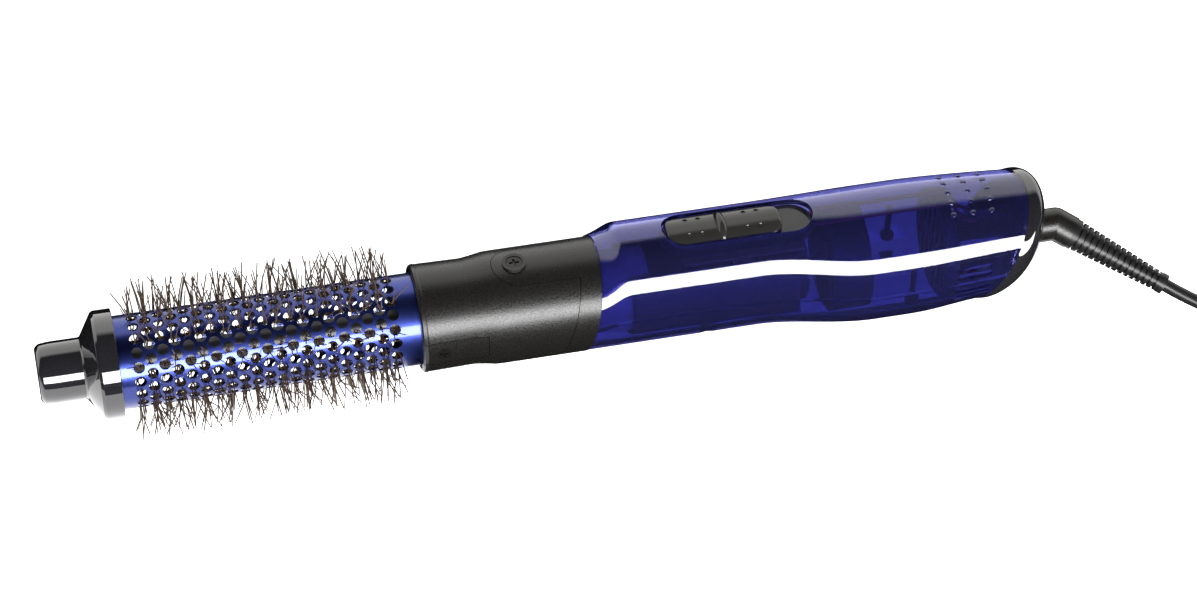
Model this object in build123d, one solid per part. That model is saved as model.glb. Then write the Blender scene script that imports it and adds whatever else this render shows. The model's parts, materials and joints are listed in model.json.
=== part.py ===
from build123d import *
from math import cos, pi, radians, sin, sqrt, tan
import os

# Hot air brush, lying on its rear belly and its bristles with the switch up.
# It is modelled round its long axis: X runs from the cool tip (x = 0) to the cord, Z is up.
# place() then moves every piece so that the origin is at the middle of the base.

AXIS_HEIGHT = 25.45         # long axis above the surface that the brush lies on

# Barrel and bristles
BARREL_R = 17.0
BARREL_WALL = 0.6
BARREL_X = (24.2, 160.0)
HOLE_R = 2.05
HOLE_PITCH = 4.6            # between columns of holes, along the barrel
HOLE_COLUMNS = 21
HOLES_ROUND = 20
FIRST_HOLE_X = 35.6
STRIP_COUNT = 10
STRIP_ROOT_R = 14.6
BRISTLE_TIP_R = 26.5
TUFT_R = 0.8

# Collar between barrel and handle
COLLAR_X = 136.9
COLLAR_FRONT_R = 19.8
COLLAR_REAR_R = 20.8
COLLAR_BORE_R = 18.3
SEAM_X = 191.3              # sleeve meets neck ring, on the axis
SEAM_SLOPE = 0.28           # how far the seam leans back per mm of height
NECK_END_X = 200.3
NECK_END_SLOPE = 0.20
JOIN_GAP = 0.22             # width of the fine lines between collar pieces
SIDE_TONGUE = (23.6, 5.0)   # length, half height
TOP_TONGUE_X = 165.5
TOP_TONGUE_HALF = 9.3
SIDE_SCREW_X = 144.2
TOP_SCREW_X = 173.8

# Handle
WALL = 2.2
GRIP = (21.0, 27.1, 21.5)   # half width, top, bottom of the grip section
REAR_R = 25.2
CAP_X = 354.0               # rear cap boundary, on the axis
CAP_SLOPE = 0.51

# Switch
RECESS_X = (228.3, 284.7)
RECESS_HALF = 8.3
BED_TOP = 22.6
BUTTON_X = (229.7, 272.7)
BUTTON_HALF = 7.7
BUTTON_TRAVEL = 10.0

# Motor and fan
MOTOR_X = (254.0, 282.0)
MOTOR_R = 12.2
FAN_X = (291.5, 302.0)
FAN_R = 18.0

# Swivel and cord
SOCKET_X = (340.0, 371.5)
SOCKET_R = 9.4
SPIGOT_R = 5.5
RUNNING_FIT = 0.05
ELBOW_R = 6.2
ELBOW_CORNER = 380.0
LEAD_DIR = Vector(0.789, -0.502, -0.355).normalized()
RELIEF_SPAN = (7.0, 47.0)   # strain relief, measured from the elbow's corner
CORD_R = 2.5
COIL_CENTRE = (488.9, -27.9)
COIL_RADII = (18.6, 39.8)
COIL_HEIGHT = 20.4
FLOOR = -AXIS_HEIGHT
CORD_Z = FLOOR + CORD_R + 0.1
PLUG_REAR = (517.6, -30.6, FLOOR + 28.0)

pieces = {}


def rod(x0, x1, r, y=0.0, z=0.0):
    """Round bar along X."""
    return Pos((x0 + x1) / 2, y, z) * Rot(0, 90, 0) * Cylinder(r, x1 - x0)


def tube(x0, x1, r_out, r_in, y=0.0, z=0.0):
    return rod(x0, x1, r_out, y, z) - rod(x0 - 1, x1 + 1, r_in, y, z)


def block(x0, x1, y0, y1, z0, z1):
    return Pos((x0 + x1) / 2, (y0 + y1) / 2, (z0 + z1) / 2) * Box(x1 - x0, y1 - y0, z1 - z0)


def turned(*profile):
    """Solid of revolution about the long axis from (x, radius) points."""
    return revolve(make_face(Plane.XZ * Polyline(*profile, close=True)), Axis.X, 360)


def spun(shape, angle):
    """The shape turned about the long axis."""
    return Rot(angle, 0, 0) * shape


def upright(r, z0, z1, x, y):
    return Pos(x, y, (z0 + z1) / 2) * Cylinder(r, z1 - z0)


def beyond(x, slope):
    """Everything behind a plane that leans back by slope per mm of height."""
    plane = Plane(origin=(x, 0, 0), x_dir=(0, 1, 0), z_dir=(1, 0, -slope))
    return plane * Pos(0, 0, 200) * Box(200, 200, 400)


def cross_head_screw(head_r, head_h, shank_r, shank_len):
    """Screw with its head's top at z = 0, pointing down, with a cross recess."""
    head = Pos(0, 0, -head_h / 2) * Cylinder(head_r, head_h)
    shank = Pos(0, 0, -head_h - shank_len / 2) * Cylinder(shank_r, shank_len)
    slot = Box(head_r * 1.25, head_r * 0.3, head_h)
    return head + shank - slot - Rot(0, 0, 90) * slot


# ---------------------------------------------------------------- cool tip and barrel

def make_tip():
    nose = turned((0, 0), (0, 7.2), (0.7, 9.3), (2.4, 10.7), (4.6, 11.25), (16.2, 11.25),
                  (16.9, 12.1), (21.4, 19.4), (22.4, 19.9), (28.2, 19.9), (28.8, 19.3), (28.8, 0))
    hollow = turned((2.4, 0), (2.4, 8.6), (17.0, 9.0), (23.0, 16.0), (24.2, 16.0), (24.2, 0))
    pieces["cool_tip"] = nose - hollow - rod(24.2, 30, BARREL_R)


def make_barrel():
    barrel = tube(*BARREL_X, BARREL_R, BARREL_R - BARREL_WALL)
    step = 360 / HOLES_ROUND
    drill = Pos(0, 0, BARREL_R) * Cylinder(HOLE_R, 4 * BARREL_WALL)
    drills = []
    for column in range(HOLE_COLUMNS):
        for k in range(HOLES_ROUND):
            angle = step * (k + 0.5 * (column % 2))
            drills.append(Pos(FIRST_HOLE_X + HOLE_PITCH * column, 0, 0) * Rot(angle, 0, 0) * drill)
    screw_hole = upright(1.5, -BARREL_R - 2, BARREL_R + 2, SIDE_SCREW_X, 0)
    pieces["perforated_barrel"] = barrel - drills - spun(screw_hole, 90)


def make_bristles():
    columns = range(0, HOLE_COLUMNS, 2)
    tuft = Pos(0, 0, (STRIP_ROOT_R + BRISTLE_TIP_R) / 2)
    tuft = tuft * Cylinder(TUFT_R, BRISTLE_TIP_R - STRIP_ROOT_R)
    strip = rod(29.0, 134.0, 0.9, z=STRIP_ROOT_R)
    for column in columns:
        strip += Pos(FIRST_HOLE_X + HOLE_PITCH * column, 0, 0) * tuft
    wires = rod(24, 140, 0.9, z=STRIP_ROOT_R)
    slots = [spun(wires, 18 + 36 * i) for i in range(STRIP_COUNT)]
    for i in range(STRIP_COUNT):
        pieces[f"bristle_strip_{i + 1:02d}"] = spun(strip, 18 + 36 * i)
    hub_r = BARREL_R - BARREL_WALL
    pieces["front_bristle_hub"] = tube(26.5, 31.5, hub_r, 4.5) - slots
    rear = tube(131.5, 135.5, hub_r, 4.5) - slots
    vents = [spun(rod(131, 136, 2.6, z=9.0), 60 * k) for k in range(6)]
    pieces["rear_bristle_hub"] = rear - vents
    pieces["core_rod"] = rod(24.2, 148.0, 4.5)


# ---------------------------------------------------------------- collar

def collar_blank(bore):
    """The collar's outside turned in one, hollow to the bore."""
    blank = turned((COLLAR_X, bore), (COLLAR_X, 19.0), (COLLAR_X + 0.5, 19.7), (COLLAR_X + 1.6, 20.0),
                   (139.0, COLLAR_FRONT_R), (156.0, 19.5), (160.0, 20.0), (164.0, 20.7),
                   (167.0, COLLAR_REAR_R), (215.0, COLLAR_REAR_R), (215.0, bore))
    return blank - beyond(NECK_END_X, NECK_END_SLOPE)


def side_zone(gap):
    end = COLLAR_X + SIDE_TONGUE[0] + gap
    half = SIDE_TONGUE[1] + gap
    return block(COLLAR_X - 2, end, -30, 30, -half, half)


def top_zone(gap):
    """Space of the top and bottom tongues, with a round front end."""
    half = TOP_TONGUE_HALF + gap
    nose_x = TOP_TONGUE_X + TOP_TONGUE_HALF
    return block(nose_x, 230, -half, half, -30, 30) + upright(half, -30, 30, nose_x, 0)


def make_collar():
    outer = collar_blank(COLLAR_BORE_R)
    sleeve = outer - beyond(SEAM_X - JOIN_GAP, SEAM_SLOPE)
    pieces["collar_sleeve"] = sleeve - side_zone(JOIN_GAP) - top_zone(JOIN_GAP)

    neck = outer & (beyond(SEAM_X, SEAM_SLOPE) + top_zone(0))
    for turn in (0, 180):
        neck += spun(upright(4.4, COLLAR_BORE_R + 0.9, 21.6, TOP_SCREW_X, 0), turn)
        neck -= spun(upright(3.15, 19.8, 30, TOP_SCREW_X, 0), turn)
        neck -= spun(upright(1.35, 10, 30, TOP_SCREW_X, 0), turn)
    pieces["handle_neck_ring"] = neck

    mount = collar_blank(17.6) & side_zone(0)
    mount += tube(COLLAR_X + 0.4, 182.0, COLLAR_BORE_R - 0.05, BARREL_R)
    for turn in (90, -90):
        mount -= spun(upright(2.65, 18.3, 30, SIDE_SCREW_X, 0), turn)
        mount -= spun(upright(1.35, 10, 30, SIDE_SCREW_X, 0), turn)
    for turn in (0, 180):
        mount -= spun(upright(1.3, 10, 30, TOP_SCREW_X, 0), turn)
    pieces["barrel_mount"] = mount

    side_screw = Pos(SIDE_SCREW_X, 0, 19.6) * cross_head_screw(2.6, 1.25, 1.25, 2.8)
    top_screw = Pos(TOP_SCREW_X, 0, 21.3) * cross_head_screw(3.0, 1.45, 1.25, 4.4)
    pieces["collar_side_screws"] = Compound([spun(side_screw, turn) for turn in (90, -90)])
    pieces["collar_top_screws"] = Compound([spun(top_screw, turn) for turn in (0, 180)])


# ---------------------------------------------------------------- heater

def make_heater():
    pieces["mica_tube"] = tube(150.0, 222.0, 15.2, 14.6)
    cross = block(148.0, 222.0, -11.2, 11.2, -0.3, 0.3) + block(148.0, 222.0, -0.3, 0.3, -11.2, 11.2)
    cross += rod(148.0, 149.2, 14.6)
    for turn in (0, 90, 180, 270):
        cross -= spun(block(140, 149.3, 2, 9, 2, 9), turn)
    pieces["mica_cross"] = cross
    turn = Rot(0, 90, 0) * Torus(11.75, 0.45)
    pieces["heater_coil"] = Compound([Pos(153.0 + 4.4 * k, 0, 0) * turn for k in range(12)])
    pieces["thermostat"] = block(208.5, 218.5, 1.0, 7.0, 1.0, 7.0)
    pieces["thermal_fuse"] = rod(207.0, 218.0, 1.6, y=-4.0, z=4.0)


# ---------------------------------------------------------------- handle shells

def ease(t):
    """Smooth step from 0 to 1."""
    t = min(max(t, 0.0), 1.0)
    return t * t * (3 - 2 * t)


def handle_section(x):
    """Half width, top, bottom and lean of the handle's outside at x."""
    rise = ease((x - NECK_END_X + 4) / 16)
    swell = ease((x - 262) / 44)
    taper = ease((x - 318) / 56)
    sizes = []
    for neck, grip in zip((20.7, 20.7, 20.7), GRIP):
        size = neck + (grip - neck) * rise
        size += (REAR_R - size) * swell
        sizes.append(size - 3.0 * taper)
    lean = NECK_END_SLOPE * (1 - ease((x - NECK_END_X) / 16)) + CAP_SLOPE * ease((x - 318) / 36)
    return (*sizes, lean)


def section_face(x, half, top, bottom, lean):
    middle = (top - bottom) / 2
    plane = Plane(origin=(x + lean * middle, 0, middle), x_dir=(0, 1, 0), z_dir=(1, 0, -lean))
    return plane * Ellipse(half, (top + bottom) / 2 * sqrt(1 + lean * lean))


HANDLE_STATIONS = (NECK_END_X, 203.8, 207.5, 210.5, 214, 219, 228, 240, 252, 262, 270, 278, 286, 294,
                   302, 310, 320, 330, 338, 346, CAP_X)


def handle_loft(inset):
    faces = []
    for x in HANDLE_STATIONS:
        half, top, bottom, lean = handle_section(x)
        faces.append(section_face(x, half - inset, top - inset, bottom - inset, lean))
    return loft(faces)


def stadium(x0, x1, half, z0, z1):
    """Upright long hole or plate with round ends."""
    core = block(x0 + half, x1 - half, -half, half, z0, z1)
    return core + upright(half, z0, z1, x0 + half, 0) + upright(half, z0, z1, x1 - half, 0)


SHELL_SCREWS = ((243.0, 14.0), (243.0, -14.0), (320.0, 17.0), (320.0, -17.0))


def make_shells():
    outer = handle_loft(0)
    shell = outer - handle_loft(WALL)
    washer = outer - beyond(NECK_END_X + 2.5, NECK_END_SLOPE) - rod(190, 220, 16.0)
    shell += washer
    shell += tube(192.0, 206.0, COLLAR_BORE_R - 0.05, 16.0) - beyond(205.5, NECK_END_SLOPE)
    above = block(180, 400, -40, 40, 0, 40)
    below = block(180, 400, -40, 40, -40, 0)
    bosses = [upright(3.2, -30, 30, x, y) for x, y in SHELL_SCREWS]
    solid_bosses = outer & (bosses[0] + bosses[1] + bosses[2] + bosses[3])
    upper = (shell & above) + (solid_bosses & above)
    lower = (shell & below) + (solid_bosses & below)

    upper -= stadium(*RECESS_X, RECESS_HALF, 15, 40)
    lower -= [upright(2.9, -30, -9, x, y) for x, y in SHELL_SCREWS]
    lower -= [upright(1.25, -30, 1, x, y) for x, y in SHELL_SCREWS]
    upper -= [upright(1.15, -1, 8, x, y) for x, y in SHELL_SCREWS]

    slot = block(335, 348, -30, -15, -0.7, 0.7)
    for lift in (8, 15):
        upper -= [spun(slot, -lift), spun(Rot(0, 0, 180) * Pos(-683, 0, 0) * slot, lift)]
    for drop in (8, 15, 22):
        lower -= [spun(slot, drop), spun(Rot(0, 0, 180) * Pos(-683, 0, 0) * slot, -drop)]
    upper += grip_bumps()
    pieces["handle_upper_shell"] = upper
    pieces["handle_lower_shell"] = lower
    screw = cross_head_screw(2.6, 1.8, 1.1, 14.0)
    screws = [Pos(x, y, -9.02) * Rot(180, 0, 0) * Pos(0, 0, 1.8) * screw for x, y in SHELL_SCREWS]
    pieces["shell_screws"] = Compound(screws)


def grip_bumps():
    bumps = []
    for row in range(-2, 3):
        for column in range(3):
            x = 341.5 + 5.1 * column
            bumps.append(Pos(x, 0, 0) * Rot(12 * row, 0, 0) * Pos(0, 0, 24.2) * Sphere(1.15))
    return bumps


def make_rear():
    def cap_loft(inset):
        half, top, bottom, lean = handle_section(CAP_X)
        stations = [(CAP_X, half, lean), (357.5, 23.4, 0.50), (361.0, 21.9, 0.47),
                    (364.0, 19.2, 0.43), (366.2 - 0.7 * inset, 15.0, 0.38)]
        faces = [section_face(x, r - inset, r - inset, r - inset, k) for x, r, k in stations]
        return loft(faces)

    cap = cap_loft(0) - cap_loft(WALL)
    cap -= rod(340, 380, SOCKET_R)
    pieces["rear_cap"] = cap
    socket = rod(*SOCKET_X, SOCKET_R) - rod(341.5, 356.0, 7.9)
    socket -= rod(355.0, 380.0, SPIGOT_R + RUNNING_FIT)
    pieces["swivel_socket"] = fillet_end(socket)
    frame = tube(332.0, 334.0, 20.5, 3.0) - inlet_slots()
    pieces["filter_frame"] = frame + tube(334.0, 336.4, 20.5, 19.0)
    pieces["dust_filter"] = tube(334.0, 334.6, 18.9, 3.0)


def fillet_end(socket):
    rim = socket.edges().filter_by(GeomType.CIRCLE).sort_by(Axis.X)[-2:]
    outer_rim = rim.sort_by(SortBy.RADIUS)[-1]
    return fillet(outer_rim, 1.6)


def inlet_slots():
    slots = []
    for y in range(-15, 16, 5):
        reach = sqrt(18.0 ** 2 - y * y)
        slots.append(block(331, 335, y - 1.3, y + 1.3, 3.5, reach))
        slots.append(block(331, 335, y - 1.3, y + 1.3, -reach, -3.5))
    return slots


# ---------------------------------------------------------------- switch

def make_switch():
    flange = stadium(RECESS_X[0] - 0.8, RECESS_X[1] + 0.8, 9.2, 20.0, 21.3)
    bed = flange + stadium(RECESS_X[0] + 0.3, RECESS_X[1] - 0.3, RECESS_HALF - 0.3, 21.2, BED_TOP)
    stem_x = 247.3
    bed -= block(stem_x - 3.2, stem_x + 3.2 + BUTTON_TRAVEL, -2.2, 2.2, 15, 25)
    bed -= block(281.9, 286.3, -4.6, 4.6, 19, 21.19)
    pieces["switch_bed"] = bed

    x0, x1 = BUTTON_X
    body = block(x0, x1, -BUTTON_HALF, BUTTON_HALF, BED_TOP + 0.35, 30)
    body = fillet(body.edges().filter_by(Axis.Z), 5.0)
    body &= rod(x0 - 1, x1 + 1, 14.0, z=12.6)
    for side in (-4.0, 4.0):
        for x in (237.9, 242.7, 259.7, 264.5):
            body -= Pos(x, side, 12.6 + sqrt(14.0 ** 2 - 16) + 0.5) * Sphere(1.05)
    fin = Pos(250.3, 0, 21.0) * scale(Sphere(1), by=(3.0, 8.2, 7.6))
    fin &= block(237, 262, -BUTTON_HALF, BUTTON_HALF, BED_TOP + 0.35, 40)
    stem = block(stem_x - 2.4, stem_x + 2.4, -1.5, 1.5, 17.6, BED_TOP + 1)
    pieces["switch_button"] = body + fin + stem

    slide_switch = block(242.3, 264.3, -4.5, 4.5, 15.3, 19.8)
    slide_switch -= block(stem_x - 3.2, stem_x + 3.2 + BUTTON_TRAVEL, -2.2, 2.2, 17.0, 21)
    pieces["slide_switch"] = slide_switch
    pieces["switch_board"] = block(235.3, 280.3, -8.0, 8.0, 14.0, 15.3)
    diodes = [rod(268.8, 274.8, 1.3, y=y, z=16.65) for y in (-5.0, -1.7, 1.7, 5.0)]
    pieces["diodes"] = Compound(diodes)


# ---------------------------------------------------------------- motor and fan

def make_motor():
    x0, x1 = MOTOR_X
    can = tube(x0, x1, MOTOR_R, 11.2) + tube(x1 - 1.5, x1, MOTOR_R, 3.0)
    pieces["motor_can"] = can
    magnets = tube(261.0, 279.0, 11.15, 9.2) - block(250, 290, -20, 20, -2.5, 2.5)
    pieces["motor_magnets"] = magnets
    pieces["motor_end_bell"] = tube(x0 - 2.0, x0, MOTOR_R, 3.0) + tube(x0, x0 + 1.5, 11.15, 3.0)
    bushes = [tube(x0 - 3.0, x0 + 1.5, 3.0, 1.55), tube(x1 - 1.5, x1 + 2.0, 3.0, 1.55)]
    pieces["motor_bushes"] = Compound(bushes)
    pieces["motor_shaft"] = rod(x0 - 5.0, 303.5, 1.5)
    core = tube(262.0, 277.0, 8.7, 1.5)
    core -= [spun(block(261, 278, -1.0, 1.0, 4.5, 10), 72 * k) for k in range(5)]
    pieces["rotor_core"] = core
    pieces["commutator"] = tube(256.2, 261.5, 3.2, 1.5)
    sleeve = tube(262.0, 281.0, 13.4, MOTOR_R)
    vanes = block(264, 279, -0.7, 0.7, 13.2, 18.2)
    for k in range(4):
        sleeve += spun(vanes, 45 + 90 * k)
    pieces["motor_mount"] = sleeve
    pieces["fan_shroud"] = tube(289.5, 304.0, 19.6, 18.6)
    hub = tube(*FAN_X, 6.0, 1.5)
    blade = Pos((FAN_X[0] + FAN_X[1]) / 2, 0, 11.8) * Rot(0, 0, 38) * Box(11.0, 0.9, 12.0)
    blade &= rod(FAN_X[0], FAN_X[1], FAN_R)
    for k in range(9):
        hub += spun(blade, 40 * k)
    pieces["fan_impeller"] = hub
    wire = FilletPolyline((347, 3, 10.6), (341, 3, 14), (337, 3, 21.4), (310, 3, 21.4),
                          (285.5, 3, 21.2), (278.7, 3, 16.4), (275.7, 3, 16.4), radius=2.0)
    tube_wire = sweep(Plane(wire @ 0, z_dir=wire % 0) * Circle(0.7), wire)
    pieces["inner_wires"] = Compound([Pos(0, -6.35, 0) * tube_wire, Pos(0, 0.35, 0) * tube_wire])


# ---------------------------------------------------------------- swivel, cord and plug

def along_lead(start):
    """Plane across the lead at a distance from the elbow's corner."""
    corner = Vector(ELBOW_CORNER, 0, 0)
    return Plane(origin=corner + LEAD_DIR * start, z_dir=LEAD_DIR)


def make_swivel():
    elbow = rod(352.5, 372.2, SPIGOT_R) - tube(354.2, 355.7, 8, 4.6)
    elbow += rod(371.9, ELBOW_CORNER, ELBOW_R) + Pos(ELBOW_CORNER, 0, 0) * Sphere(ELBOW_R)
    bend_end = RELIEF_SPAN[0]
    elbow += along_lead(0) * Pos(0, 0, bend_end / 2) * Cylinder(ELBOW_R, bend_end)
    elbow += rod(344.5, 353, 2.0)
    pieces["swivel_elbow"] = elbow
    pieces["retaining_clip"] = tube(354.2, 355.7, 7.0, 4.6)
    rings = [tube(x, x + 2.0, 3.2, 2.0) for x in (346.0, 350.0)]
    pieces["contact_rings"] = Compound(rings)
    springs = [block(x + 0.3, x + 1.7, -7.0, 7.0, 3.6, 4.2) for x in (346.0, 350.0)]
    springs = [s & rod(340, 360, 7.9) for s in springs]
    pieces["contact_springs"] = Compound(springs)

    length = RELIEF_SPAN[1] - RELIEF_SPAN[0]
    rib_count = 15
    pitch = (length - 4.0) / rib_count
    profile = [(0, 0), (5.9, 0), (5.9, 2.0)]
    for k in range(rib_count):
        z = 2.0 + pitch * k
        r = 5.7 - 2.1 * k / rib_count
        profile += [(r - 0.9, z), (r - 0.9, z + pitch * 0.4), (r, z + pitch * 0.4), (r, z + pitch)]
    profile += [(3.9, length - 2.0), (3.9, length), (0, length)]
    spun_relief = revolve(make_face(Plane.XZ * Polyline(*profile, close=True)), Axis.Z, 360)
    pieces["strain_relief"] = along_lead(RELIEF_SPAN[0]) * spun_relief


def cord_tube(points):
    """Straight runs joined by arcs as large as the runs allow. Prints the arcs' radii."""
    corners = [Vector(*p) for p in points]
    runs = [corners[i + 1] - corners[i] for i in range(len(corners) - 1)]
    room = [0.95 * runs[0].length, *[0.47 * run.length for run in runs[1:-1]], 0.95 * runs[-1].length]
    radii = []
    for i in range(len(runs) - 1):
        half_turn = radians(runs[i].get_angle(runs[i + 1])) / 2
        radii.append(min(room[i], room[i + 1]) / tan(half_turn))
    print("cord runs", [round(r.length, 1) for r in runs], "radii", [round(r, 1) for r in radii])
    path = FilletPolyline(*points, radius=radii)
    solid = sweep(Plane(path @ 0, z_dir=path % 0) * Circle(CORD_R), path)
    print("cord length", round(path.length, 1), "volume ratio",
          round(solid.volume / (pi * CORD_R ** 2 * path.length), 4))
    return solid


def make_cord():
    start = Vector(ELBOW_CORNER, 0, 0) + LEAD_DIR * RELIEF_SPAN[1]
    route = [(start.X, start.Y, start.Z), (429.7, -31.6, CORD_Z), (448.0, -43.3, CORD_Z),
             (466.6, -57.4, CORD_Z)]
    coil_x, coil_y = COIL_CENTRE
    coil = upright(COIL_RADII[1], FLOOR + 0.1, FLOOR + COIL_HEIGHT, coil_x, coil_y)
    coil -= upright(COIL_RADII[0], FLOOR - 5, FLOOR + 30, coil_x, coil_y)
    pieces["power_cord"] = cord_tube(route) - coil
    tail = [(462.7, -54.1, CORD_Z + 15.1), (477.8, -69.2, CORD_Z + 16.4),
            (509.3, -60.7, CORD_Z + 22.4), (520.5, -41.4, CORD_Z + 25.2), PLUG_REAR]
    pieces["cord_tail"] = cord_tube(tail) - coil

    middle = (COIL_RADII[0] + COIL_RADII[1]) / 2
    width = COIL_RADII[1] - COIL_RADII[0]
    at = Pos(coil_x, coil_y, 0) * Rot(0, 0, 150) * Pos(middle, 0, FLOOR + 0.1 + COIL_HEIGHT / 2)
    band = at * (Box(width + 2.4, 9.0, COIL_HEIGHT + 0.2) - Box(width - 1.0, 20, COIL_HEIGHT - 2.6))
    space = at * (Box(width + 9, 9.3, 60) - Box(width - 1.1, 30, COIL_HEIGHT - 2.7))
    pieces["cord_tie"] = band
    pieces["cord_coil"] = coil - space

    rear = Vector(*PLUG_REAR)
    facing = Vector(-sin(radians(15)), cos(radians(15)), 0)
    rear_plane = Plane(origin=rear, x_dir=(-facing.Y, facing.X, 0), z_dir=facing)
    stations = ((0, 9.0, 9.0), (8, 12.0, 10.5), (20, 30.0, 13.4), (36, 35.0, 13.6))
    body = loft([rear_plane * Pos(0, 0, d) * RectangleRounded(w, h, h * 0.42) for d, w, h in stations])
    pieces["plug_body"] = body
    pins = []
    for side in (-9.3, 9.3):
        pin = rear_plane * Pos(side, 0, 36 + 9.5) * Cylinder(2.0, 19.0)
        pins.append(fillet(pin.edges().sort_by_distance(rear + facing * 80)[0], 1.0))
    pieces["plug_pins"] = Compound(pins)
    print("plug pins", [tuple(round(v, 2) for v in p.center()) for p in pins])


CORD_NODES = ("power_cord", "cord_tail", "cord_coil", "cord_tie", "plug_body", "plug_pins")


def place():
    """Puts the origin at the middle of the brush's base, cord left out, and writes the files."""
    boxes = [s.bounding_box() for n, s in pieces.items() if n not in CORD_NODES]
    x = (min(b.min.X for b in boxes) + max(b.max.X for b in boxes)) / 2
    y = (min(b.min.Y for b in boxes) + max(b.max.Y for b in boxes)) / 2
    z = min(b.min.Z for b in boxes)
    print("shift", round(-x, 3), round(-y, 3), round(-z, 3))
    os.makedirs("parts", exist_ok=True)
    for name, shape in pieces.items():
        export_step(Pos(-x, -y, -z) * shape, f"parts/{name}.step")


make_tip()
make_barrel()
make_bristles()
make_collar()
make_heater()
make_shells()
make_rear()
make_switch()
make_motor()
make_swivel()
make_cord()
place()
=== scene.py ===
import json
import math
import random

import bmesh
import bpy
from mathutils import Matrix, Vector


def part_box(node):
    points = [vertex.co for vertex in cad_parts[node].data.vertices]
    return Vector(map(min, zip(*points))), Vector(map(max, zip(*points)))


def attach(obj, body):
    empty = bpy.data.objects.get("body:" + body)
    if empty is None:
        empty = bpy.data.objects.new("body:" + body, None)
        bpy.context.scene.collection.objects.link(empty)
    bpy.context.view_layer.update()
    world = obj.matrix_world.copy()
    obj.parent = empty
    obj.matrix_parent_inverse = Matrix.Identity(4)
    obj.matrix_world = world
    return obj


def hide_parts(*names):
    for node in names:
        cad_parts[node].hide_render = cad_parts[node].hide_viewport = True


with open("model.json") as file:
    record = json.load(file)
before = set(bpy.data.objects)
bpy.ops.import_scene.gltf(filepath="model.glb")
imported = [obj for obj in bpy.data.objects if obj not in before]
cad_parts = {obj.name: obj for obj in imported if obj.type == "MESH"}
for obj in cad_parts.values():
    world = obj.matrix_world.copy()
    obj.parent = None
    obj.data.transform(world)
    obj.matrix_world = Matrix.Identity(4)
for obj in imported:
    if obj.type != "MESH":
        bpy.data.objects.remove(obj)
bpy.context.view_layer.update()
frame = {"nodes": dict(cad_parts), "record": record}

# Hot air brush: looks, cord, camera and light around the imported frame.
# Local sizes are in millimetres from the cool tip along the long axis, as in the part's own source.

MM = 0.001
nodes = frame["nodes"]
scene = bpy.context.scene

tip_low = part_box("cool_tip")[0]
barrel_low, barrel_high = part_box("perforated_barrel")
AXIS = Vector((tip_low.x, (barrel_low.y + barrel_high.y) / 2, (barrel_low.z + barrel_high.z) / 2))
AXIS_HEIGHT = AXIS.z / MM


def at(x, y, z):
    """Row-frame point from millimetres along, across and above the long axis."""
    return AXIS + Vector((x, y, z)) * MM


# ------------------------------------------------------------------ camera, floor and light

CAMERA_AZIMUTH = 13.0       # degrees from straight in front, towards the cool tip
CAMERA_ELEVATION = 45.26
CAMERA_ROLL = -0.85
CAMERA_DISTANCE = 1.32      # metres
CAMERA_LENS = 108.17        # millimetres, on a sensor of the width below
SENSOR_WIDTH = 36.0
LOOK_AT = (205.3, 0.0, -3.93)
FLOOR_HALF = 4.0            # metres
FLOOR_GLOW = 1.0            # a lightbox table, lit from below
FLAG_ENDS_X = (-900, 1300)
FLAG_STEP_X = 133           # where the front flag comes closer, from the brush to the handle
FLAG_BRUSH_GAP = 95         # how far in front of the long axis the front flag starts there
FLAG_HANDLE_GAP = 8
FLAG_FAR = 2600
FLAG_LIFT = 0.0004          # metres above the floor
STRIP_PLACE = (270, -900, 290)
STRIP_LOOK = (270, 0, 0)
STRIP_SIZE = (1.5, 0.40)    # metres
STRIP_WATTS = 54
WORLD_STRENGTH = 2.3
WORLD_STOPS = (             # share of a half turn from the front over the top, and the colour there
    (0.60, (0.012, 0.012, 0.013, 1)),
    (0.66, (1.0, 0.99, 0.97, 1)),
)


def link(name, data):
    """A new object of that data, in the scene."""
    made = bpy.data.objects.new(name, data)
    scene.collection.objects.link(made)
    return made


def principled(name, **sockets):
    """A new material and its Principled shader; sockets are named with _ for each space."""
    made = bpy.data.materials.new(name)
    made.use_nodes = True
    shader = made.node_tree.nodes["Principled BSDF"]
    for socket, value in sockets.items():
        shader.inputs[socket.replace("_", " ")].default_value = value
    return made, shader


def make_camera():
    azimuth = math.radians(CAMERA_AZIMUTH)
    elevation = math.radians(CAMERA_ELEVATION)
    away = Vector((-math.sin(azimuth) * math.cos(elevation),
                   -math.cos(azimuth) * math.cos(elevation), math.sin(elevation)))
    data = bpy.data.cameras.new("camera")
    data.lens = CAMERA_LENS
    data.sensor_width = SENSOR_WIDTH
    camera = link("camera", data)
    camera.location = at(*LOOK_AT) + away * CAMERA_DISTANCE
    turn = (-away).to_track_quat("-Z", "Y").to_matrix()
    roll = Matrix.Rotation(math.radians(-CAMERA_ROLL), 3, "Z")
    camera.rotation_euler = (turn @ roll).to_euler()
    scene.camera = camera


def make_floor():
    """A white table that glows a little, so that it stays white under the object."""
    mesh = bpy.data.meshes.new("floor")
    half = FLOOR_HALF
    mesh.from_pydata([(-half, -half, 0), (half, -half, 0), (half, half, 0), (-half, half, 0)], [],
                     [(0, 1, 2, 3)])
    floor = link("floor", mesh)
    paper, _ = principled("white_paper", Base_Color=(0.86, 0.86, 0.87, 1), Roughness=0.9,
                          Emission_Color=(1, 1, 1, 1), Emission_Strength=FLOOR_GLOW)
    mesh.materials.append(paper)


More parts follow.
